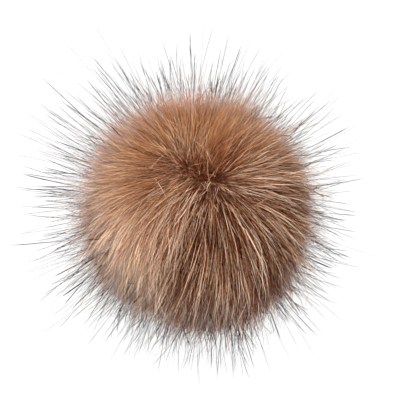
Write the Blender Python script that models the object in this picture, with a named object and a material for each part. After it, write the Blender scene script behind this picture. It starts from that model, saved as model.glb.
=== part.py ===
"""A faux fur pom pom: one gathered round of long pile that stands as a ball on its flattened underside.

The pile parts at a crown near the top and is combed down from it on all sides. The solid is the
dense ball of pile with its combed tufts raised, and the locks of guard hair that stand out of it.
Units are metres. The origin is the middle of the flat spot that the ball rests on, with +Z up.
"""

import bisect
import math
import random

import bmesh
import bpy
from mathutils import Vector, noise

MM = 0.001
SEED = 11

# The ball of dense pile.
BODY_RADIUS = 44.8 * MM
CENTRE_HEIGHT = 42 * MM  # under BODY_RADIUS, as the pile is pressed flat underneath
BODY_SEGMENTS = 48
BODY_RINGS = 24

# The crown is where the pile parts. It leans a little off the vertical.
CROWN_TILT_X = math.radians(6.5)
CROWN_TILT_Y = math.radians(4)

# Tufts: combed ridges that run down from the crown, staggered from one band to the next.
TUFTS_ROUND = 14
TUFT_BANDS = 5
TUFT_HEIGHT = 1.2 * MM
LUMP_HEIGHT = 1.4 * MM
LUMP_SIZE = 26 * MM
CROWN_DIP = 4 * MM
CROWN_DIP_ANGLE = math.radians(15)

# How far the guard hairs reach from the ball's centre, all round the crown, how much further round
# the ball a lock's tip lies than its root, and how far from the crown the locks begin. Azimuth 0
# is +X and 90 is +Y, the far side.
PILE_TABLE = (
    # azimuth_deg, reach_mm, sweep_deg, highest_deg
    (0, 65, 22, 50),
    (45, 67, 15, 40),
    (90, 69, 11, 35),
    (135, 75, 15, 40),
    (180, 73, 22, 50),
    (225, 68, 28, 54),
    (270, 64, 31, 54),
    (315, 65, 28, 54),
)

# Locks of guard hair, spread evenly over the ball's sides, from below the combed top down to
# where the floor is near.
LOCK_SPOTS = 346
LOCK_WIDTH = 4.5 * MM
LOCK_ROOT_DEPTH = 4 * MM
LOCK_LOWEST = math.radians(124)
LOCK_FLOOR_GAP = 9 * MM
LOCK_FLOOR_EASE = 6 * MM  # how softly a lock bends out above that gap
LOCK_SHORT_FROM = math.radians(90)
LOCK_SHORTEST = 0.6  # of the reach past the ball, at LOCK_LOWEST
LOCK_LEAST_SWEEP = 0.4  # of the sweep, at LOCK_LOWEST
LOCK_FULL_PAST = math.radians(16)  # past where the locks begin
LOCK_CROWN_SHORTEST = 0.5  # of the reach past the ball, where they begin
SWEEP_FULL_AT = math.radians(35)
LOCK_TAPER = (
    # along, width_share
    (0.00, 1.00),
    (0.34, 0.84),
    (0.68, 0.44),
    (1.00, 0.05),
)

# Short locks that lie on the floor round the flat spot.
FLOOR_LOCKS = 26
FLOOR_LOCK_WIDTH = 4.2 * MM
FLOOR_LOCK_PATH = (
    # out_from_axis_mm, height_mm, width_share
    (22.0, 10.0, 1.00),
    (32.5, 4.6, 0.90),
    (40.0, 0.0, 0.60),
    (48.5, 0.0, 0.05),
)

FUR_COLOUR = (0.42, 0.24, 0.14, 1)
TIP_COLOUR = (0.10, 0.06, 0.05, 1)
FUR_ROUGHNESS = 0.65

CENTRE = Vector((0, 0, CENTRE_HEIGHT))


def clear_scene():
    for obj in list(bpy.data.objects):
        bpy.data.objects.remove(obj)


def new_collection(name):
    collection = bpy.data.collections.new(name)
    bpy.context.scene.collection.children.link(collection)
    return collection


def move_to(obj, collection):
    for old in list(obj.users_collection):
        old.objects.unlink(obj)
    collection.objects.link(obj)


def fur_material(name, colour):
    material = bpy.data.materials.new(name)
    material.use_nodes = True
    shader = material.node_tree.nodes["Principled BSDF"]
    shader.inputs["Base Color"].default_value = colour
    shader.inputs["Roughness"].default_value = FUR_ROUGHNESS
    shader.inputs["Metallic"].default_value = 0
    return material


def crown_axes():
    """The crown's direction, and the directions of azimuth 0 and 90 round it."""
    crown = Vector((math.sin(CROWN_TILT_X), math.sin(CROWN_TILT_Y), 1)).normalized()
    across = Vector((0, 1, 0)).cross(crown).normalized()
    return crown, across, crown.cross(across)


CROWN, ACROSS, AWAY = crown_axes()


def outward(polar, azimuth):
    """The direction from the ball's centre at an angle from the crown and an azimuth round it."""
    level = ACROSS * math.cos(azimuth) + AWAY * math.sin(azimuth)
    return CROWN * math.cos(polar) + level * math.sin(polar)


def pile_at(azimuth):
    """The guard hairs' reach, sweep and beginning there, eased between the rows of PILE_TABLE."""
    turn = math.degrees(azimuth) % 360
    rows = PILE_TABLE + ((360,) + PILE_TABLE[0][1:],)
    after = bisect.bisect_right([row[0] for row in rows], turn)
    low, high = rows[after - 1], rows[min(after, len(rows) - 1)]
    share = (turn - low[0]) / max(high[0] - low[0], 1)
    share = share * share * (3 - 2 * share)
    reach = low[1] + (high[1] - low[1]) * share
    sweep = low[2] + (high[2] - low[2]) * share
    highest = low[3] + (high[3] - low[3]) * share
    return reach * MM, math.radians(sweep), math.radians(highest)


def body_radius(way):
    """The dense pile's radius in a direction, with its lumps, its combed tufts and its crown."""
    polar = CROWN.angle(way)
    azimuth = math.atan2(way.dot(AWAY), way.dot(ACROSS))
    lump = noise.noise(way * (BODY_RADIUS / LUMP_SIZE)) * LUMP_HEIGHT
    band = polar / math.pi * TUFT_BANDS
    stagger = math.pi * math.floor(band)
    ridge = math.cos(TUFTS_ROUND * azimuth + stagger) * math.sin(math.pi * (band % 1))
    tuft = ridge * math.sin(polar) * TUFT_HEIGHT
    dip = CROWN_DIP * math.exp(-((polar / CROWN_DIP_ANGLE) ** 2))
    return BODY_RADIUS + lump + tuft - dip


def raise_tufts(bm):
    for vertex in bm.verts:
        way = vertex.co.normalized()
        vertex.co = CENTRE + way * body_radius(way)


def flatten_underside(bm):
    """Cuts the ball at the floor and closes it with the flat spot."""
    cut = bmesh.ops.bisect_plane(
        bm,
        geom=bm.verts[:] + bm.edges[:] + bm.faces[:],
        plane_co=(0, 0, 0),
        plane_no=(0, 0, 1),
        clear_inner=True,
    )
    rim = [item for item in cut["geom_cut"] if isinstance(item, bmesh.types.BMEdge)]
    bmesh.ops.contextual_create(bm, geom=rim)


def make_body(material):
    bpy.ops.mesh.primitive_uv_sphere_add(
        segments=BODY_SEGMENTS, ring_count=BODY_RINGS, radius=BODY_RADIUS
    )
    body = bpy.context.object
    body.name = "fur_ball"
    body.data.materials.append(material)
    bm = bmesh.new()
    bm.from_mesh(body.data)
    raise_tufts(bm)
    flatten_underside(bm)
    bmesh.ops.recalc_face_normals(bm, faces=bm.faces)
    bm.to_mesh(body.data)
    bm.free()
    body.data.shade_smooth()
    return body


def spots_on_ball(count):
    """Polar angles and azimuths of evenly spaced spots, along a spiral from the crown down."""
    golden = math.pi * (3 - math.sqrt(5))
    for i in range(count):
        yield math.acos(1 - 2 * (i + 0.5) / count), (i * golden) % (2 * math.pi)


def lock_points(polar, azimuth, draw):
    """The points of one lock, as place and width share, from its root in the ball to its tip."""
    reach, sweep, highest = pile_at(azimuth)
    reach *= draw.uniform(0.88, 1.02)
    sweep *= min(1, polar / SWEEP_FULL_AT) * draw.uniform(0.75, 1.15)
    turn = math.radians(draw.uniform(-3, 3))
    low = max(0, polar - LOCK_SHORT_FROM) / (LOCK_LOWEST - LOCK_SHORT_FROM)
    high = max(0, highest + LOCK_FULL_PAST - polar) / LOCK_FULL_PAST
    shorter = low * (1 - LOCK_SHORTEST) + high * (1 - LOCK_CROWN_SHORTEST)
    reach = BODY_RADIUS + (reach - BODY_RADIUS) * (1 - shorter)
    sweep *= 1 - low * (1 - LOCK_LEAST_SWEEP)
    root = BODY_RADIUS - LOCK_ROOT_DEPTH
    for along, width in LOCK_TAPER:
        way = outward(polar + sweep * along**1.3, azimuth + turn * along)
        place = CENTRE + way * (root + (reach - root) * along)
        rise = place.z - LOCK_FLOOR_GAP
        place.z = LOCK_FLOOR_GAP + (rise + math.hypot(rise, LOCK_FLOOR_EASE)) / 2
        yield place, width


def floor_lock_points(azimuth, draw):
    """The points of one lock that leaves the ball low down and lies flat on the floor."""
    stretch = draw.uniform(0.94, 1.06)
    for out, height, width in FLOOR_LOCK_PATH:
        spread = out * MM * (1 + (stretch - 1) * (out / FLOOR_LOCK_PATH[-1][0]))
        yield Vector((spread * math.cos(azimuth), spread * math.sin(azimuth), height * MM)), width


def add_profile(name, collection):
    """A three-sided section of width 1 with its flat side on its own X axis."""
    curve = bpy.data.curves.new(name, "CURVE")
    curve.dimensions = "2D"
    spline = curve.splines.new("POLY")
    corners = ((0.5, 0), (0, 0.6), (-0.5, 0))
    spline.points.add(len(corners) - 1)
    for point, (x, y) in zip(spline.points, corners):
        point.co = (x, y, 0, 1)
    spline.use_cyclic_u = True
    profile = bpy.data.objects.new(name, curve)
    profile.hide_render = True
    collection.objects.link(profile)
    return profile


def add_locks(name, locks, width, twist, profile, material, collection):
    """One mesh of tapered three-sided locks, each a spline whose points carry its width."""
    curve = bpy.data.curves.new(name + "_splines", "CURVE")
    curve.dimensions = "3D"
    curve.twist_mode = twist
    curve.bevel_mode = "OBJECT"
    curve.bevel_object = profile
    curve.use_fill_caps = True
    for points in locks:
        spline = curve.splines.new("POLY")
        spline.points.add(len(points) - 1)
        for point, (place, share) in zip(spline.points, points):
            point.co = (*place, 1)
            point.radius = width * share
    guide = bpy.data.objects.new(name + "_splines", curve)
    collection.objects.link(guide)
    bpy.context.view_layer.update()
    graph = bpy.context.evaluated_depsgraph_get()
    mesh = bpy.data.meshes.new_from_object(guide.evaluated_get(graph))
    joined = bpy.data.objects.new(name, mesh)
    joined.matrix_world = guide.matrix_world
    bpy.data.objects.remove(guide)
    bm = bmesh.new()
    bm.from_mesh(mesh)
    bmesh.ops.remove_doubles(bm, verts=bm.verts, dist=0.001 * MM)
    bmesh.ops.recalc_face_normals(bm, faces=bm.faces)
    bm.to_mesh(mesh)
    bm.free()
    mesh.materials.clear()
    mesh.materials.append(material)
    joined.hide_render = True
    joined.display_type = "WIRE"
    collection.objects.link(joined)
    return joined


def free_locks(draw):
    return [
        list(lock_points(polar, azimuth, draw))
        for polar, azimuth in spots_on_ball(LOCK_SPOTS)
        if pile_at(azimuth)[2] < polar < LOCK_LOWEST
    ]


def floor_locks(draw):
    step = 2 * math.pi / FLOOR_LOCKS
    return [list(floor_lock_points(i * step, draw)) for i in range(FLOOR_LOCKS)]


def join_to(body, locks):
    union = body.modifiers.new(locks.name, "BOOLEAN")
    union.operation = "UNION"
    union.solver = "EXACT"
    union.material_mode = "TRANSFER"
    union.object = locks


def main():
    clear_scene()
    draw = random.Random(SEED)
    parts = new_collection("pom_pom")
    joiners = new_collection("joiners")
    fur = fur_material("fur", FUR_COLOUR)
    tips = fur_material("guard_hair", TIP_COLOUR)
    body = make_body(fur)
    move_to(body, parts)
    profile = add_profile("lock_profile", joiners)
    standing = add_locks(
        "standing_locks", free_locks(draw), LOCK_WIDTH, "MINIMUM", profile, tips, joiners
    )
    lying = add_locks(
        "lying_locks", floor_locks(draw), FLOOR_LOCK_WIDTH, "Z_UP", profile, tips, joiners
    )
    join_to(body, standing)
    join_to(body, lying)


main()
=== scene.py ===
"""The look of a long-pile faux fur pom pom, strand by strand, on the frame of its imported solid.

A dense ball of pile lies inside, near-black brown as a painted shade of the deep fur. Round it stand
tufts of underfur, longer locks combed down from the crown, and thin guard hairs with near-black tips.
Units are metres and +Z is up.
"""

import math
from collections import namedtuple

import bpy
import numpy as np
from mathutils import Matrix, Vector, noise


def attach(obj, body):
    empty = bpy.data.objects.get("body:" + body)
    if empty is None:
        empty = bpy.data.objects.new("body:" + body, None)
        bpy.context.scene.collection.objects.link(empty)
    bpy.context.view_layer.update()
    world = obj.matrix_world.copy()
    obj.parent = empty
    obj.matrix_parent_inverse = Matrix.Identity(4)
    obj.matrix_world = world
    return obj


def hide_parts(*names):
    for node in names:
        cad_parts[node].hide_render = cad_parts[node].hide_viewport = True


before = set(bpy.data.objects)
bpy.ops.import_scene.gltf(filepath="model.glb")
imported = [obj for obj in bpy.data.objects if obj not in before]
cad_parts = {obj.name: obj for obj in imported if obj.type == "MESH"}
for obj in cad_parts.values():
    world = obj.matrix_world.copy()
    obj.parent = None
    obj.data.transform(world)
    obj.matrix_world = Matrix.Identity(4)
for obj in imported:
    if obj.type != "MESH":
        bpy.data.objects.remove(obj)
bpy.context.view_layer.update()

MM = 0.001
SEED = 23
NODE = "fur_ball"
BODY = "root"

# The ball's centre, as in the solid, over the middle of the flat spot.
CENTRE = np.array((0, 0, 42 * MM))
# The crown leans a little off the vertical, to the right and back.
CROWN_TILT_X = math.radians(9)
CROWN_TILT_Y = math.radians(0.5)
# The pile parts along a short line, from the crown towards the far left.
PARTING_AZIMUTH = math.radians(150)
PARTING_LENGTH = math.radians(17)

# The dense pile inside, with lumps on it.
CORE_RADIUS = 38 * MM
CORE_SEGMENTS = 96
CORE_RINGS = 48
CORE_FLOOR_EASE = 2 * MM
CORE_LUMPS = (
    # turns_to_a_radius, height_mm
    (3.0, 1.6),
    (9.0, 0.8),
)

# How the pile lies, all round the crown. Azimuth 0 is +X and 90 is +Y, the far side.
# The tone column is palest round the left and lower left: partly tone that differs, partly a painted
# sheen.
PILE_TABLE = np.array((
    # azimuth_deg, reach, guard_mm, longest_mm, guard_from_deg, sweep_deg, tone, streaks, coarse,
    # dark_tips, dark_from_deg
    (0, 0.934, 7.8, 19, 60, 36, 0.50, 0.50, 0.95, 0.15, 52),
    (45, 0.980, 9.2, 28, 46, 26, 0.47, 0.18, 0.70, 0.55, 42),
    (90, 1.005, 9.6, 28, 40, 20, 0.47, 0.06, 0.60, 0.65, 38),
    (135, 1.008, 10.8, 30, 46, 24, 0.53, 0.06, 0.60, 0.70, 40),
    (180, 0.975, 10.6, 27, 60, 32, 0.59, 0.11, 0.65, 0.55, 54),
    (210, 0.985, 10.2, 23, 62, 40, 0.62, 0.34, 0.85, 0.50, 66),
    (240, 0.905, 8.0, 17, 64, 46, 0.60, 0.52, 1.00, 0.18, 72),
    (270, 0.958, 7.4, 15, 64, 48, 0.44, 0.62, 1.10, 0.75, 72),
    (300, 0.985, 8.0, 17, 64, 46, 0.43, 0.60, 1.08, 0.55, 70),
    (330, 0.955, 7.8, 18, 62, 42, 0.43, 0.56, 1.00, 0.12, 64),
))
(
    AZIMUTH, REACH, GUARD, LONGEST, GUARD_FROM, SWEEP, TONE_AND_SHEEN, STREAKS, COARSE, DARK_TIPS, DARK_FROM
) = range(PILE_TABLE.shape[1])

# Paler and darker patches and streaks, by where they lie from the crown. The strong pale ones round
# the lower left are a painted sheen.
TONE_AND_SHEEN_PATCHES = (
    # azimuth_deg, width_deg, down_deg, length_deg, tone
    (6, 26, 76, 12, 0.36),
    (40, 34, 76, 16, 0.26),
    (46, 30, 44, 18, 0.20),
    (60, 40, 12, 9, -0.18),
    (95, 45, 78, 16, 0.14),
    (120, 22, 62, 14, -0.10),
    (131, 24, 24, 10, 0.30),
    (135, 25, 76, 14, -0.12),
    (167, 16, 30, 10, -0.18),
    (170, 24, 66, 16, 0.18),
    (206, 16, 36, 12, -0.04),
    # The strong pale patches from here to azimuth 248 are a painted sheen.
    (211, 18, 64, 18, 0.64),
    (228, 24, 18, 12, 0.12),
    (234, 14, 50, 16, -0.02),
    (238, 16, 90, 12, 0.56),
    (243, 14, 76, 12, 0.44),
    (248, 10, 40, 14, 0.42),
    (258, 6, 50, 22, -0.18),
    (264, 14, 27, 15, -0.90),
    (264, 12, 70, 16, -0.28),
    (285, 8, 62, 16, 0.58),
    (296, 9, 38, 12, 0.24),
    (304, 9, 40, 20, -0.12),
    (304, 12, 68, 12, -0.46),
    (325, 12, 58, 12, -0.18),
    (336, 15, 76, 12, 0.40),
    (344, 20, 30, 20, 0.44),
    (352, 16, 54, 12, 0.06),
)
# Slow swirls that turn the tufts a little off the straight way down from the crown.
SWIRLS = (
    # turns_round, turns_down, turn_deg, phase
    (3, 1.0, 7.0, 1.3),
    (5, 2.5, 5.0, 0.4),
    (8, 4.0, 3.0, 2.1),
)
# Tufts differ in tone, and each strand is darker or paler than its tuft by one of these steps. The
# palest steps partly stand in as painted highlights along the hair.
TUFT_TONES = 0.40
STREAK_AND_HIGHLIGHT_STEPS = (-1.6, -0.5, 0.4, 1.7)
STREAK_SHARES = (0.27, 0.27, 0.28, 0.18)
STEP_VARY = 0.3
# A dark patch has weaker streaks too, down to this share of them.
LEAST_STREAKS = 0.35
# The pile is painted darker close to the crown, as a painted shade of the parting's hollow, and its
# tips are dark where the guard hairs stand.
CROWN_PAINTED_SHADE = 0.12
CROWN_DARK_TO = math.radians(4.5)
DARK_OVER = math.radians(20)

# One kind of pile: how many tufts, how many strands in each, and how they stand.
Pile = namedtuple(
    "Pile",
    "tufts per_tuft spread places root_mm reach_mm reach_vary rise lean sweep_share turn_deg "
    "width_mm pull bow_mm taper",
)
# Where a strand has its points, as shares of the way from root to tip.
SHORT = (0, 1)
MIDDLE = (0, 0.35, 0.7, 1)
LONG = (0, 0.4, 0.72, 1)
RIM = (0, 0.4, 1)
HAIR = (0, 0.3, 0.6, 0.88, 1)
PILES = {
    "short_underfur": Pile(1000, 7, 0.08, SHORT, 36, 43, 0.03, 1.3, 1.2, 0.4, 7, 0.46, 0.1, 0.3, 2.2),
    "underfur_a": Pile(1300, 7, 0.07, RIM, 36, 44.6, 0.03, 1.8, 1.1, 0.75, 7, 0.28, 0.05, 0.3, 2.2),
    "underfur_b": Pile(1700, 7, 0.06, MIDDLE, 36, 45.6, 0.03, 1.8, 1.1, 0.9, 7, 0.19, 0.05, 0.3, 2.2),
    "long_pile_a": Pile(1700, 7, 0.06, LONG, 36, 46.2, 0.04, 2, 1.1, 1.05, 8, 0.18, 0.1, 0.15, 3),
    "long_pile_b": Pile(1710, 7, 0.05, LONG, 36, 46.8, 0.04, 2, 1.1, 1.25, 9, 0.18, 0.1, 0.15, 3),
    "rim_hair": Pile(7500, 3, 0.09, RIM, 38, 47, 0.04, 1.1, 1, 0.45, 12, 0.076, 0, 1.2, 3),
    "guard_hair": Pile(2500, 2, 0.11, HAIR, 37, 49, 0.04, 1, 0.9, 0.45, 14, 0.13, 0, 1.9, 12),
}
THIN_HAIR = ("rim_hair", "guard_hair")

# How tufts are spread over the ball: closer together near the crown, and a little shaken.
LOWEST = math.radians(150)
CROWN_CROWDING = 1.25
TUFT_SHAKE = 0.3
# How much tufts and strands differ.
SWEEP_VARY = 0.25
STRAND_SWEEP_VARY = 0.1
STRAND_VARY = 0.04
STRAND_TAIL = 0.060
WIDTH_RANGE = (0.6, 1.3)
GUARD_VARY = 0.45
RIM_SHARE = 0.30
PULL_POWER = 1.3
GUARD_SHAPE = (0.45, 0.45, 0.95, 1.25, 1)
# The pile is mixed and a little shorter at the crown, swept over from there, and more upright
# round the sides.
CROWN_MIXING = math.radians(40)
CROWN_SHORTER = 0.05
CROWN_SHORT_TO = math.radians(8)
SWEEP_FULL_AT = math.radians(18)
SIDES_FROM = math.radians(35)
SIDES_FULL_AT = math.radians(85)
SIDES_UPRIGHT = 0.55
# Thin hairs are nearly straight, and stand free past this distance from the centre.
STRAIGHT = 0.95
LEAVES_PILE_AT = 44.0 * MM
# No hair reaches past these corners. One that would is shortened, to end between LEAST_KEPT of
# the way there and all of it.
LEAST_CORNER = np.array((-79, -66, -1)) * MM
MOST_CORNER = np.array((75, 80, 97)) * MM
LEAST_KEPT = 0.93
LEAST_AWAY = 0.1 * MM
# Pile near the floor bends up over it and is pushed outwards.
FLOOR_GAP = 0.5 * MM
FLOOR_EASE = 5 * MM
FLOOR_PUSH = 0.35

# Hairs that lie across the others: short dark ones along the crown's parting, dark as a painted shade
# of its hollow, and long pale strays over it.
Across = namedtuple(
    "Across", "count steps off_parting_deg length_mm radius_mm rise_mm curl width_mm tone"
)
CROSSING = {
    # Painted shade: dark hairs along the crown's parting.
    "crown_shade_hair": Across(400, 3, 2.4, 5, 40.5, 1.5, 0.4, 0.20, 0.06),
    "stray_hair": Across(30, 6, 16, 13, 46.8, 1.0, 0.15, 0.11, 0.80),
}
ACROSS_LENGTHS = (0.5, 1.5)
ACROSS_RADII = (0.985, 1.015)
ACROSS_WIDTHS = (0.7, 1.3)
ACROSS_TONES = 0.12
ACROSS_TAPER = 3

# A strand is a three-sided tapering bar. Its map has tone across and the way to the tip along.
SIDES = 3
TRIANGLE_CORNERS = 3
UV_NAME = "OFBake"
UV_HALF_WIDTH = 0.004
TONE_MARGIN = 0.02
SIDE_SHARES = (0, 1, 0.5)
TIP_SHARE = 0.5
CAP_V = 0.01
TINY = 1e-12
NUDGE = 1e-9

# The first half of the map across is for plain strands, and the second for dark-tipped ones.
MAP_HALVES = 2
DARK_HALF_FROM = 0.5
# The palest stops partly stand in as painted highlights along the hair.
UNDERFUR_TONES_AND_HIGHLIGHTS = (
    (0.00, (0.080, 0.023, 0.010)),
    (0.30, (0.26, 0.080, 0.031)),
    (0.55, (0.43, 0.238, 0.118)),
    (0.80, (0.64, 0.450, 0.322)),
    (1.00, (0.96, 0.77, 0.60)),
)
# Painted shade deep in the pile: each strand's colour is multiplied darker and redder towards its
# root.
PAINTED_ROOT_SHADE = (
    (0.00, (0.12, 0.055, 0.035)),
    (0.35, (0.44, 0.28, 0.21)),
    (0.75, (0.96, 0.93, 0.91)),
    (1.00, (1.00, 1.00, 1.00)),
)
UNDERFUR_TIPS = ((0.00, 0.0), (0.55, 0.0), (0.95, 0.75))
GUARD_TIPS = ((0.00, 0.0), (0.22, 0.0), (0.40, 1.0))
RIM_TIPS = ((0.00, 0.0), (0.25, 0.0), (0.45, 1.0))
UNDERFUR_TIP_COLOURS = (
    (0.5, (0.16, 0.070, 0.046)),
    (1.0, (0.050, 0.024, 0.022)),
)
GUARD_TIP_COLOURS = (
    (0.3, (0.68, 0.58, 0.54)),
    (0.5, (0.22, 0.18, 0.18)),
    (0.7, (0.003, 0.002, 0.003)),
)
RIM_TIP_COLOURS = (
    (0.4, (0.38, 0.28, 0.23)),
    (0.7, (0.35, 0.28, 0.27)),
    (1.0, (0.32, 0.28, 0.30)),
)
HAIR_TIPS = {
    "guard_hair": (GUARD_TIPS, GUARD_TIP_COLOURS),
    "rim_hair": (RIM_TIPS, RIM_TIP_COLOURS),
}
ROOT_ROUGHNESS = 0.6
TIP_ROUGHNESS = 0.45
HAIR_SPECULAR = 0.01
HAIR_GRAIN = 60
HAIR_BUMP = 0.02 * MM
CORE_GRAIN = 900
CORE_DETAIL = 6
CORE_BUMP = 1.5 * MM
# Painted shade: the deep pile inside is near-black brown.
CORE_SHADE_COLOURS = ((0.3, (0.040, 0.013, 0.007)), (0.7, (0.15, 0.058, 0.028)))
CORE_ROUGHNESS = ((0.2, 0.95), (0.8, 0.7))
# The colour sockets of a mix node.
MIX_FIRST = 6
MIX_SECOND = 7
MIX_RESULT = 2

# Photo frame: the picture is 160 mm wide at the ball, seen from 69 degrees above the floor.
VIEW_ELEVATION = math.radians(69)
VIEW_WIDTH = 160 * MM
VIEW_DISTANCE = 0.9
VIEW_NEAR = 0.05
PICTURE = 400
BALL_PIXEL = (197.5, 214.5)

# A bright white surrounding, with soft light from the far left and a weaker one from the front.
LIGHTS = (
    # name, place_m, size_m, watts, colour
    ("key", (-0.45, 0.65, 0.85), 0.8, 34, (1, 0.98, 0.95)),
    ("fill", (0.15, -0.75, 0.95), 1.0, 13, (1, 1, 1)),
)
SURROUNDING = (1, 1, 1, 1)
FLOOR_SIZE = 6
FLOOR_COLOUR = (0.05, 0.05, 0.05, 1)
FLOOR_GLOW_COLOUR = (1, 1, 1, 1)
FLOOR_GLOW = 0.93
FLOOR_ROUGHNESS = 0.9
FLOOR_SPECULAR = 0.1


def crown_axes():
    """The crown's direction, and the directions of azimuth 0 and 90 round it."""
    crown = np.array((math.sin(CROWN_TILT_X), math.sin(CROWN_TILT_Y), 1))
    crown /= np.linalg.norm(crown)
    across = np.cross((0, 1, 0), crown)
    across /= np.linalg.norm(across)
    return crown, across, np.cross(crown, across)


CROWN, ACROSS, AWAY = crown_axes()


def unit(vectors):
    return vectors / np.maximum(np.linalg.norm(vectors, axis=-1, keepdims=True), TINY)


def outward(polar, azimuth):
    """Directions from the ball's centre, at angles from the crown and azimuths round it."""
    level = np.cos(azimuth)[..., None] * ACROSS + np.sin(azimuth)[..., None] * AWAY
    return np.cos(polar)[..., None] * CROWN + np.sin(polar)[..., None] * level


def angles_of(ways):
    """The angle from the crown and the azimuth round it, for directions from the centre."""
    polar = np.arccos(np.clip(ways @ CROWN, -1, 1))
    return polar, np.arctan2(ways @ AWAY, ways @ ACROSS)


def table_at(azimuth, column):
    """A column of PILE_TABLE at these azimuths, eased between its rows."""
    turn = np.degrees(azimuth) % 360
    once_round = np.where(np.arange(PILE_TABLE.shape[1]) == AZIMUTH, 360, 0)
    rows = np.vstack((PILE_TABLE, PILE_TABLE[:1] + once_round))
    after = np.searchsorted(rows[:, AZIMUTH], turn, side="right").clip(1, len(rows) - 1)
    low, high = rows[after - 1], rows[after]
    share = (turn - low[:, AZIMUTH]) / (high[:, AZIMUTH] - low[:, AZIMUTH])
    share = share * share * (3 - 2 * share)
    return low[:, column] + (high[:, column] - low[:, column]) * share


def spread_over_ball(count, draw):
    """Evenly spaced directions, a little shaken, from the crown down to LOWEST."""
    golden = math.pi * (3 - math.sqrt(5))
    i = np.arange(count)
    share = ((i + 0.5) / count) ** CROWN_CROWDING
    height = 1 - (1 - math.cos(LOWEST)) * share
    ways = outward(np.arccos(height), i * golden)
    return unit(ways + draw.normal(0, TUFT_SHAKE / math.sqrt(count), ways.shape))


def swirl(polar, azimuth):
    """How far the pile turns aside there."""
    turn = np.zeros_like(azimuth)
    for round_turns, down_turns, degrees, phase in SWIRLS:
        turn += math.radians(degrees) * np.sin(round_turns * azimuth + down_turns * polar + phase)
    return turn


def tone_and_sheen_at(polar, azimuth):
    """How much paler or darker the pile is there, with a painted sheen round the lower left."""
    tone = np.zeros_like(azimuth)
    for degrees, width, down, length, shift in TONE_AND_SHEEN_PATCHES:
        apart = (np.degrees(azimuth) - degrees + 180) % 360 - 180
        below = np.degrees(polar) - down
        tone += shift * np.exp(-((apart / width) ** 2) - (below / length) ** 2)
    return tone


def parting_way():
    """The direction along which the parting leaves the crown."""
    return math.cos(PARTING_AZIMUTH) * ACROSS + math.sin(PARTING_AZIMUTH) * AWAY


def from_parting(ways):
    """The nearest place on the parting, and the angle to it."""
    far = parting_way()
    place = np.clip(np.arctan2(ways @ far, ways @ CROWN), 0, PARTING_LENGTH)[:, None]
    nearest = np.cos(place) * CROWN + np.sin(place) * far
    return nearest, np.arccos(np.clip(np.sum(ways * nearest, axis=1), -1, 1))


def comb(pile, ways, reach, sweep, turn):
    """Centre lines that rise from the roots and lie over, away from the parting."""
    along = np.array(pile.places)
    nearest, angle = from_parting(ways)
    polar, _ = angles_of(ways)
    round_side = np.clip((polar - SIDES_FROM) / (SIDES_FULL_AT - SIDES_FROM), 0, 1)
    sweep = sweep * np.minimum(1, angle / SWEEP_FULL_AT) * (1 - SIDES_UPRIGHT * round_side)
    ahead = unit(ways * np.cos(angle)[:, None] - nearest)
    aside = np.cross(ways, ahead)
    heading = np.cos(turn)[:, None] * ahead + np.sin(turn)[:, None] * aside
    bend = (sweep[:, None] * along**pile.lean)[..., None]
    path = np.cos(bend) * ways[:, None] + np.sin(bend) * heading[:, None]
    root = pile.root_mm * MM
    radius = root + (reach - root)[:, None] * (1 - (1 - along) ** pile.rise)
    return CENTRE + radius[..., None] * path


def settle(lines):
    """Lifts what would pass through the floor, and pushes it outwards along it."""
    rise = lines[..., 2] - FLOOR_GAP
    eased = (rise + np.hypot(rise, FLOOR_EASE)) / 2
    lift = eased - rise
    level = unit(lines[..., :2])
    lines[..., :2] += level * (lift * FLOOR_PUSH)[..., None]
    lines[..., 2] = FLOOR_GAP + eased
    return lines


def emerging(reach, root, places):
    """Shares of the way from root to tip, so that each hair leaves the pile at its second place."""
    leave = (LEAVES_PILE_AT - root) / np.maximum(reach - root, LEAVES_PILE_AT - root + MM)
    outer = (np.array(places[1:]) - places[1]) / (1 - places[1])
    beyond = leave[:, None] + (1 - leave)[:, None] * outer
    return np.concatenate((np.zeros((len(reach), 1)), beyond), axis=1)


def keep_inside(lines, draw):
    """Shortens the hairs that would stand out past the rest."""
    away = lines[:, -1] - lines[:, 0]
    room = np.where(away > 0, MOST_CORNER, LEAST_CORNER) - lines[:, 0]
    share = room / np.where(np.abs(away) < LEAST_AWAY, np.sign(room) * LEAST_AWAY, away)
    share = np.minimum(1, share.min(axis=1) * draw.uniform(LEAST_KEPT, 1, len(lines)))
    return lines[:, :1] + (lines - lines[:, :1]) * share[:, None, None]


Tufts = namedtuple("Tufts", "ways reach sweep turn middle tone streaks")


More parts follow.
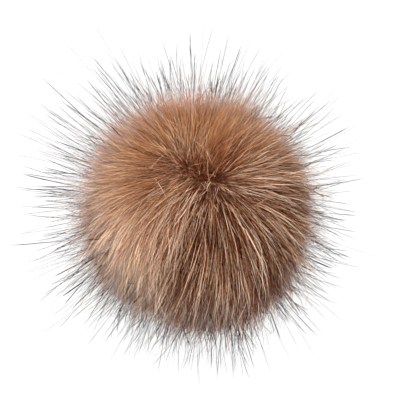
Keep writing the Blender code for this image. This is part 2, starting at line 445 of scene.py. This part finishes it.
def plant(name, pile, draw):
    """Where the tufts of one kind of pile stand, how they lie and how pale they are."""
    ways = spread_over_ball(pile.tufts, draw)
    polar, azimuth = angles_of(ways)
    if name in THIN_HAIR:
        ways = ways[polar > np.radians(table_at(azimuth, GUARD_FROM))]
        polar, azimuth = angles_of(ways)
    count = len(ways)
    _, off_parting = from_parting(ways)
    near_crown = np.exp(-((off_parting / CROWN_DARK_TO) ** 2))
    reach = pile.reach_mm * MM * table_at(azimuth, REACH)
    reach *= draw.uniform(1 - pile.reach_vary, 1 + pile.reach_vary, count)
    reach *= 1 - CROWN_SHORTER * np.exp(-((off_parting / CROWN_SHORT_TO) ** 2))
    sweep = np.radians(table_at(azimuth, SWEEP)) * pile.sweep_share
    sweep *= draw.uniform(1 - SWEEP_VARY, 1 + SWEEP_VARY, count)
    turning = math.radians(pile.turn_deg) + CROWN_MIXING * near_crown
    turn = swirl(polar, azimuth) + draw.normal(0, 1, count) * turning
    middle = comb(pile, ways, reach, sweep, turn)
    halfway = unit(middle[:, 0] + middle[:, -1] - 2 * CENTRE)
    # Tone patches, with a painted sheen round the lower left.
    shift = tone_and_sheen_at(*angles_of(halfway))
    streaks = table_at(azimuth, STREAKS)
    # Tone by azimuth, paler round the lower left partly as a painted sheen.
    tone = table_at(azimuth, TONE_AND_SHEEN) + draw.normal(0, TUFT_TONES, count) * streaks
    # Painted shade: darker close to the crown.
    tone += shift - CROWN_PAINTED_SHADE * near_crown
    streaks *= np.clip(1 + shift, LEAST_STREAKS, 1)
    return Tufts(ways, reach, sweep, turn, middle, tone, streaks)


def reach_of(name, reach, azimuth, draw):
    """How far each strand reaches from the ball's centre."""
    count = len(reach)
    reach = reach * draw.uniform(1 - STRAND_VARY, 1 + STRAND_VARY, count)
    reach *= 1 - STRAND_TAIL + draw.exponential(STRAND_TAIL, count)
    if name == "guard_hair":
        longer = draw.exponential(1, count) * table_at(azimuth, GUARD) * MM
        reach += np.minimum(longer, table_at(azimuth, LONGEST) * MM)
    if name == "rim_hair":
        reach += draw.exponential(1, count) * table_at(azimuth, GUARD) * RIM_SHARE * MM
    return reach


def lines_of(name, tufts, own, ways, reach, draw):
    """Centre lines of the strands, drawn in towards the middle of their tufts."""
    pile = PILES[name]
    along = np.array(pile.places)
    count = len(own)
    sweep = tufts.sweep[own] * draw.uniform(1 - STRAND_SWEEP_VARY, 1 + STRAND_SWEEP_VARY, count)
    turn = tufts.turn[own] + draw.normal(0, math.radians(pile.turn_deg), count)
    lines = comb(pile, ways, reach, sweep, turn)
    closer = (pile.pull * along**PULL_POWER)[None, :, None]
    lines -= (lines - tufts.middle[own]) * closer
    if name in THIN_HAIR:
        share = emerging(reach, pile.root_mm * MM, along)
        straight = lines[:, :1] + (lines[:, -1:] - lines[:, :1]) * share[..., None]
        lines += (straight - lines) * STRAIGHT
    bow = draw.normal(0, pile.bow_mm * MM, (len(tufts.ways), 1, 3))[own]
    bow += draw.normal(0, pile.bow_mm * MM, (count, 1, 3))
    return keep_inside(settle(lines + bow * (along**2)[None, :, None]), draw)


def tones_of(tufts, own, draw):
    """How pale each strand is, from 0 to 1; the palest stand partly for painted highlights."""
    # The palest steps partly stand in as painted highlights.
    steps = draw.choice(STREAK_AND_HIGHLIGHT_STEPS, len(own), p=STREAK_SHARES)
    steps += draw.normal(0, STEP_VARY, len(own))
    return np.clip(tufts.tone[own] + steps * tufts.streaks[own], 0, 1)


def dark_tipped(name, lines, azimuth, draw):
    """Which tips are dark: those of all thin hairs, and of more of the other strands lower down."""
    tip_polar, _ = angles_of(unit(lines[:, -1] - CENTRE))
    beyond = tip_polar - np.radians(table_at(azimuth, DARK_FROM))
    lowness = np.clip(beyond / DARK_OVER, 0, 1)
    dark = draw.uniform(0, 1, len(lines)) < table_at(azimuth, DARK_TIPS) * lowness
    return dark | (name in THIN_HAIR)


def widths_of(name, azimuth, draw):
    """How wide each strand is at its places."""
    pile = PILES[name]
    along = np.array(pile.places)
    count = len(azimuth)
    widths = pile.width_mm * MM * draw.uniform(*WIDTH_RANGE, (count, 1)) * (1 - along**pile.taper)
    if name == "guard_hair":
        widths *= np.exp(draw.normal(0, GUARD_VARY, (count, 1))) * np.array(GUARD_SHAPE)
    if name not in THIN_HAIR:
        widths *= table_at(azimuth, COARSE)[:, None]
    return widths


def grow(name, draw):
    """Centre lines, widths and tones of one kind of pile, and whether each tip is dark."""
    pile = PILES[name]
    tufts = plant(name, pile, draw)
    own = np.repeat(np.arange(len(tufts.ways)), pile.per_tuft)
    ways = unit(tufts.ways[own] + draw.normal(0, pile.spread, (len(own), 3)))
    _, azimuth = angles_of(ways)
    reach = reach_of(name, tufts.reach[own], azimuth, draw)
    lines = lines_of(name, tufts, own, ways, reach, draw)
    tones = tones_of(tufts, own, draw)
    dark = dark_tipped(name, lines, azimuth, draw)
    widths = widths_of(name, azimuth, draw)
    return lines, widths, tones, dark


def lay_across(hair, draw):
    """Centre lines of hairs that lie across the others near the crown, each its own way."""
    along = np.linspace(0, 1, hair.steps + 1)
    far = draw.uniform(0, PARTING_LENGTH, (hair.count, 1))
    line = np.cos(far) * CROWN + np.sin(far) * parting_way()
    off = draw.normal(0, math.radians(hair.off_parting_deg), (hair.count, 3))
    start = unit(line + off)
    heading = unit(np.cross(start, unit(draw.normal(0, 1, start.shape))))
    aside = np.cross(start, heading)
    length = hair.length_mm * MM * draw.uniform(*ACROSS_LENGTHS, hair.count)
    radius = hair.radius_mm * MM * draw.uniform(*ACROSS_RADII, hair.count)
    angle = (length / radius)[:, None] * along
    curl = draw.normal(0, hair.curl, (hair.count, 1)) * angle * along
    ways = (
        np.cos(angle)[..., None] * start[:, None]
        + np.sin(angle)[..., None] * heading[:, None]
        + curl[..., None] * aside[:, None]
    )
    radius = radius[:, None] + hair.rise_mm * MM * along
    lines = CENTRE + radius[..., None] * unit(ways)
    tones = np.clip(draw.normal(hair.tone, ACROSS_TONES, hair.count), 0, 1)
    widths = hair.width_mm * MM * draw.uniform(*ACROSS_WIDTHS, (hair.count, 1))
    return lines, widths * (1 - along**ACROSS_TAPER), tones, np.zeros(hair.count)


def strand_rings(lines, widths, draw):
    """Corner points of the strands' three-sided sections, and each strand's tip point."""
    heading = unit(np.gradient(lines, axis=1))
    side = unit(np.cross(heading, np.broadcast_to(CROWN, heading.shape)) + NUDGE)
    side = unit(side - np.sum(side * heading, axis=-1, keepdims=True) * heading)
    up = np.cross(side, heading)
    roll = draw.uniform(0, 2 * math.pi, (len(lines), 1))
    corners = []
    for i in range(SIDES):
        angle = roll + 2 * math.pi * i / SIDES
        offset = np.cos(angle)[..., None] * side + np.sin(angle)[..., None] * up
        corners.append(lines + offset * (widths / 2)[..., None])
    rings = np.stack(corners, axis=2)[:, :-1]
    return rings, lines[:, -1]


def strand_faces(count, steps):
    """One strand's triangles by its own point numbers, and all strands' triangles."""
    pattern = []
    for step in range(steps - 1):
        low, high = step * SIDES, (step + 1) * SIDES
        for i in range(SIDES):
            j = (i + 1) % SIDES
            pattern.append((low + i, low + j, high + j))
            pattern.append((low + i, high + j, high + i))
    last = (steps - 1) * SIDES
    tip = steps * SIDES
    for i in range(SIDES):
        pattern.append((last + i, last + (i + 1) % SIDES, tip))
    pattern.append((2, 1, 0))
    pattern = np.array(pattern)
    points = steps * SIDES + 1
    faces = pattern[None] + (np.arange(count) * points)[:, None, None]
    return pattern, faces.reshape(-1, TRIANGLE_CORNERS)


def strand_uv(pattern, steps, along, tones):
    """Tone across and place along the strand, for each corner of each triangle."""
    u_shift = np.empty(pattern.shape)
    v = np.empty(pattern.shape)
    tip = steps * SIDES
    for row, triangle in enumerate(pattern):
        for corner, point in enumerate(triangle):
            u_shift[row, corner] = TIP_SHARE if point == tip else SIDE_SHARES[point % SIDES]
            v[row, corner] = along[point // SIDES]
    v[-1] = (0, 0, CAP_V)
    u = tones[:, None, None] + (u_shift[None] * 2 - 1) * UV_HALF_WIDTH
    v = np.broadcast_to(v[None], u.shape)
    return np.stack((u, v), axis=-1).reshape(-1)


def strand_mesh(name, lines, widths, tones, along, draw):
    """One joined mesh of closed, tapered, three-sided strands."""
    count, points = lines.shape[:2]
    steps = points - 1
    rings, tips = strand_rings(lines, widths, draw)
    places = np.concatenate((rings.reshape(count, -1, 3), tips[:, None]), axis=1)
    pattern, faces = strand_faces(count, steps)
    mesh = bpy.data.meshes.new(name)
    mesh.vertices.add(places.shape[0] * places.shape[1])
    mesh.vertices.foreach_set("co", places.reshape(-1).astype(np.float32))
    mesh.loops.add(faces.size)
    mesh.loops.foreach_set("vertex_index", faces.reshape(-1).astype(np.int32))
    mesh.polygons.add(len(faces))
    first_corners = np.arange(len(faces)) * TRIANGLE_CORNERS
    mesh.polygons.foreach_set("loop_start", first_corners.astype(np.int32))
    mesh.update(calc_edges=True)
    mesh.shade_smooth()
    layer = mesh.uv_layers.new(name=UV_NAME)
    uv = strand_uv(pattern, steps, along, tones)
    layer.data.foreach_set("uv", uv.astype(np.float32))
    piece = bpy.data.objects.new(name, mesh)
    bpy.context.scene.collection.objects.link(piece)
    return piece


def add_node(tree, kind, **values):
    node = tree.nodes.new(kind)
    for name, value in values.items():
        setattr(node, name, value)
    return node


def add_math(tree, operation, *values):
    """The result of a sum on links and plain values."""
    node = add_node(tree, "ShaderNodeMath", operation=operation)
    for socket, value in zip(node.inputs, values):
        if isinstance(value, bpy.types.NodeSocket):
            tree.links.new(value, socket)
        else:
            socket.default_value = value
    return node.outputs["Value"]


def add_mix(tree, blend, first, second):
    """A node that mixes two colours, which takes a factor too."""
    node = add_node(tree, "ShaderNodeMix", data_type="RGBA", blend_type=blend)
    tree.links.new(first, node.inputs[MIX_FIRST])
    tree.links.new(second, node.inputs[MIX_SECOND])
    return node


def add_ramp(tree, source, stops):
    """A colour ramp with these stops, each a place and a colour or a grey."""
    ramp = tree.nodes.new("ShaderNodeValToRGB")
    elements = ramp.color_ramp.elements
    while len(elements) < len(stops):
        elements.new(1)
    for element, (place, colour) in zip(elements, stops):
        element.position = place
        element.color = (*colour, 1) if isinstance(colour, tuple) else (colour, colour, colour, 1)
    tree.links.new(source, ramp.inputs["Fac"])
    return ramp.outputs["Color"]


def add_bump(tree, shader, height, distance):
    bump = tree.nodes.new("ShaderNodeBump")
    bump.inputs["Distance"].default_value = distance
    tree.links.new(height, bump.inputs["Height"])
    tree.links.new(bump.outputs["Normal"], shader.inputs["Normal"])


def new_material(name):
    """A material, its node tree and its shader."""
    material = bpy.data.materials.new(name)
    material.use_nodes = True
    return material, material.node_tree, material.node_tree.nodes["Principled BSDF"]


def strand_colour(tree, across, along, tips, tip_colours):
    """Colour from the tone across the map, a painted shade along it that darkens towards the root,
    and darker tips.
    """
    tone_place = add_math(tree, "FRACT", add_math(tree, "MULTIPLY", across, MAP_HALVES))
    has_dark_tip = add_math(tree, "GREATER_THAN", across, DARK_HALF_FROM)
    tone = add_ramp(tree, tone_place, UNDERFUR_TONES_AND_HIGHLIGHTS)
    # Painted shade: darker and redder towards the root.
    root_shade = add_ramp(tree, along, PAINTED_ROOT_SHADE)
    root_shaded = add_mix(tree, "MULTIPLY", tone, root_shade)
    root_shaded.inputs["Factor"].default_value = 1
    tipped = add_mix(tree, "MIX", root_shaded.outputs[MIX_RESULT], add_ramp(tree, along, tip_colours))
    tip_share = add_math(tree, "MULTIPLY", add_ramp(tree, along, tips), has_dark_tip)
    tree.links.new(tip_share, tipped.inputs["Factor"])
    return tipped.outputs[MIX_RESULT]


def strand_material(name, tips, tip_colours):
    """Soft matt hair with painted shade towards the roots, a little smoother at the tips, with a fine
    grain.
    """
    material, tree, shader = new_material(name)
    place = add_node(tree, "ShaderNodeUVMap", uv_map=UV_NAME)
    split = tree.nodes.new("ShaderNodeSeparateXYZ")
    tree.links.new(place.outputs["UV"], split.inputs["Vector"])
    across, along = split.outputs["X"], split.outputs["Y"]
    colour = strand_colour(tree, across, along, tips, tip_colours)
    tree.links.new(colour, shader.inputs["Base Color"])
    gloss = tree.nodes.new("ShaderNodeMapRange")
    gloss.inputs["To Min"].default_value = ROOT_ROUGHNESS
    gloss.inputs["To Max"].default_value = TIP_ROUGHNESS
    tree.links.new(along, gloss.inputs["Value"])
    tree.links.new(gloss.outputs["Result"], shader.inputs["Roughness"])
    shader.inputs["Specular IOR Level"].default_value = HAIR_SPECULAR
    grain = tree.nodes.new("ShaderNodeTexNoise")
    grain.inputs["Scale"].default_value = HAIR_GRAIN
    tree.links.new(place.outputs["UV"], grain.inputs["Vector"])
    add_bump(tree, shader, grain.outputs["Fac"], HAIR_BUMP)
    return material


def core_material():
    """Dense pile seen between the strands, near-black brown as a painted shade of the deep fur."""
    material, tree, shader = new_material("dense_pile_painted_shade")
    place = tree.nodes.new("ShaderNodeTexCoord")
    grain = tree.nodes.new("ShaderNodeTexNoise")
    grain.inputs["Scale"].default_value = CORE_GRAIN
    grain.inputs["Detail"].default_value = CORE_DETAIL
    tree.links.new(place.outputs["Object"], grain.inputs["Vector"])
    tree.links.new(add_ramp(tree, grain.outputs["Fac"], CORE_SHADE_COLOURS), shader.inputs["Base Color"])
    tree.links.new(add_ramp(tree, grain.outputs["Fac"], CORE_ROUGHNESS), shader.inputs["Roughness"])
    add_bump(tree, shader, grain.outputs["Fac"], CORE_BUMP)
    return material


def make_core():
    """The dense pile inside, lumpy and pressed flat underneath."""
    bpy.ops.mesh.primitive_uv_sphere_add(
        segments=CORE_SEGMENTS, ring_count=CORE_RINGS, radius=CORE_RADIUS
    )
    core = bpy.context.object
    core.name = "dense_pile_painted_shade"
    for vertex in core.data.vertices:
        way = vertex.co.normalized()
        lump = sum(noise.noise(way * turns) * height * MM for turns, height in CORE_LUMPS)
        place = Vector(CENTRE) + way * (CORE_RADIUS + lump)
        rise = place.z - FLOOR_GAP
        place.z = FLOOR_GAP + (rise + math.hypot(rise, CORE_FLOOR_EASE)) / 2
        vertex.co = place
    core.data.shade_smooth()
    core.data.materials.append(core_material())
    return core


def join_to_frame(piece):
    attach(piece, BODY)
    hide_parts(NODE)


def make_strands(name, grown, along, draw):
    """One piece of strands, with its material, on the frame."""
    lines, widths, tones, dark = grown
    across = (dark + TONE_MARGIN + (1 - 2 * TONE_MARGIN) * tones) / MAP_HALVES
    piece = strand_mesh(name, lines, widths, across, along, draw)
    tips, tip_colours = HAIR_TIPS.get(name, (UNDERFUR_TIPS, UNDERFUR_TIP_COLOURS))
    piece.data.materials.append(strand_material(name, tips, tip_colours))
    join_to_frame(piece)


def view_axes():
    """The picture's right and up directions, and the direction back to the camera."""
    back = Vector((0, -math.cos(VIEW_ELEVATION), math.sin(VIEW_ELEVATION)))
    right = Vector((1, 0, 0))
    return right, back.cross(right), back


def make_camera():
    """Looks down at the ball as the photo does, with the ball at its place in the picture."""
    right, up, back = view_axes()
    pixel = VIEW_WIDTH / PICTURE
    aim = Vector(CENTRE)
    aim += right * ((PICTURE / 2 - BALL_PIXEL[0]) * pixel)
    aim -= up * ((PICTURE / 2 - BALL_PIXEL[1]) * pixel)
    data = bpy.data.cameras.new("camera")
    data.lens = data.sensor_width * VIEW_DISTANCE / VIEW_WIDTH
    data.clip_start = VIEW_NEAR
    camera = bpy.data.objects.new("camera", data)
    camera.location = aim + back * VIEW_DISTANCE
    camera.rotation_euler = (-back).to_track_quat("-Z", "Y").to_euler()
    bpy.context.scene.collection.objects.link(camera)
    bpy.context.scene.camera = camera


def add_area_light(name, place, size, power, colour):
    """A round soft light that points at the ball."""
    data = bpy.data.lights.new(name, "AREA")
    data.shape = "DISK"
    data.size = size
    data.energy = power
    data.color = colour
    light = bpy.data.objects.new(name, data)
    light.location = place
    light.rotation_euler = (Vector(CENTRE) - Vector(place)).to_track_quat("-Z", "Y").to_euler()
    bpy.context.scene.collection.objects.link(light)


def make_lights():
    world = bpy.data.worlds.new("soft_white")
    world.use_nodes = True
    background = world.node_tree.nodes["Background"]
    background.inputs["Color"].default_value = SURROUNDING
    background.inputs["Strength"].default_value = 1
    bpy.context.scene.world = world
    for light in LIGHTS:
        add_area_light(*light)


def make_floor():
    """A white surface that glows a little, so that it stays white under the ball."""
    bpy.ops.mesh.primitive_plane_add(size=FLOOR_SIZE)
    floor = bpy.context.object
    floor.name = "floor"
    material, _, shader = new_material("floor")
    shader.inputs["Base Color"].default_value = FLOOR_COLOUR
    shader.inputs["Emission Color"].default_value = FLOOR_GLOW_COLOUR
    shader.inputs["Emission Strength"].default_value = FLOOR_GLOW
    shader.inputs["Roughness"].default_value = FLOOR_ROUGHNESS
    shader.inputs["Specular IOR Level"].default_value = FLOOR_SPECULAR
    floor.data.materials.append(material)


draw = np.random.default_rng(SEED)
make_camera()
make_lights()
make_floor()
core = make_core()
join_to_frame(core)
for name, pile in PILES.items():
    make_strands(name, grow(name, draw), pile.places, draw)
for name, hair in CROSSING.items():
    make_strands(name, lay_across(hair, draw), np.linspace(0, 1, hair.steps + 1), draw)
bpy.context.scene.view_settings.view_transform = "Standard"
